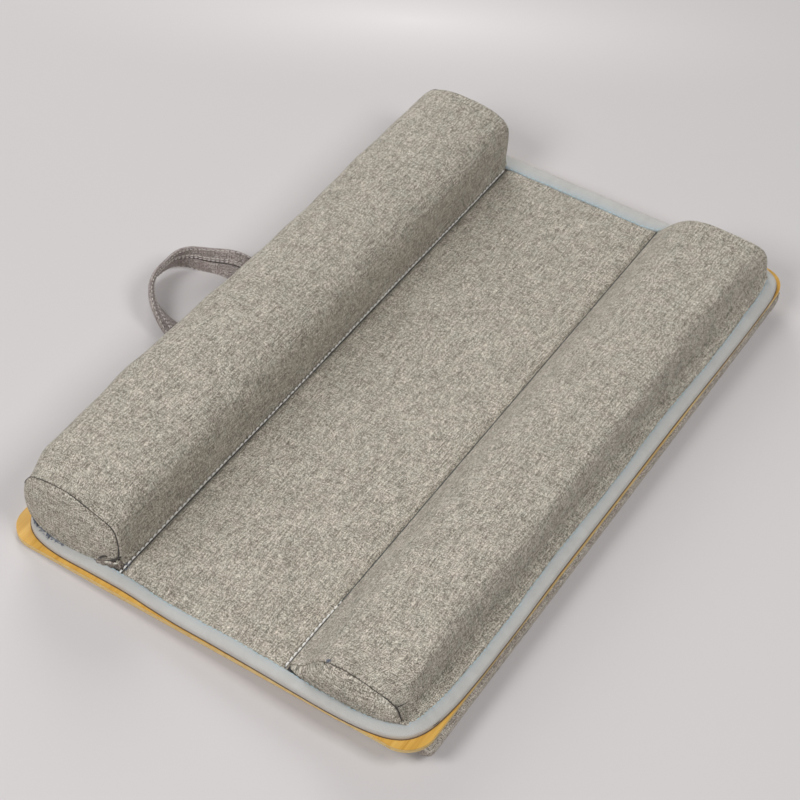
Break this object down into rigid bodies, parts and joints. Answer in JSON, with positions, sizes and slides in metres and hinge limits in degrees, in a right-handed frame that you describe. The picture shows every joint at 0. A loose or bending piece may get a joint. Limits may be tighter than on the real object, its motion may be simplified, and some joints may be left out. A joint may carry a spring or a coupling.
{
  "type": "cushioned lap desk",
  "caption": "Lap desk: thin wooden board with two padded bolsters and a quilted centre panel on its back, a wrist rest and a cloth carry handle.",
  "frame": {"origin": "centre of the board, on its flat work face", "axes": "+X along the board's long side, +Y to the rear edge with the carry handle, +Z from the work face through the board to the cushions"},
  "size_m": [0.56, 0.4215, 0.0813],
  "materials": {
    "plywood_core": "satin",
    "wood_veneer": "satin",
    "foam_tape": "matte",
    "backing_cloth": "matte",
    "wadding": "matte",
    "soft_filling": "matte",
    "linen_cloth": "matte",
    "binding_tape": "matte",
    "white_thread": "matte",
    "strap_cloth": "matte",
    "rest_cloth": "matte",
    "glue": "matte"
  },
  "bodies": {
    "desk": {"board_core": "plywood_core", "pad_face_veneer": "wood_veneer", "work_face_veneer": "wood_veneer", "rear_foam_tape": "foam_tape", "centre_foam_tape": "foam_tape", "front_foam_tape": "foam_tape", "pad_backing": "backing_cloth", "centre_wadding": "wadding", "cover_fabric": "linen_cloth", "rear_bolster_filling": "soft_filling", "rear_bolster_left_end": "linen_cloth", "rear_bolster_right_end": "linen_cloth", "front_bolster_filling": "soft_filling", "front_bolster_left_end": "linen_cloth", "front_bolster_right_end": "linen_cloth", "edge_binding": "binding_tape", "rear_channel_thread": "white_thread", "front_channel_thread": "white_thread", "handle_left_tab": "strap_cloth", "handle_right_tab": "strap_cloth", "wrist_rest_glue": "glue", "wrist_rest_foam": "soft_filling", "wrist_rest_cover": "rest_cloth"},
    "handle": {"handle_strap": "strap_cloth"}
  },
  "joints": [
    {"name": "handle_swing", "type": "hinge", "parent": "desk", "child": "handle", "pos_m": [0, 0.177, 0.0049], "axis": [1, 0, 0], "range_deg": [-85, 75]}
  ]
}
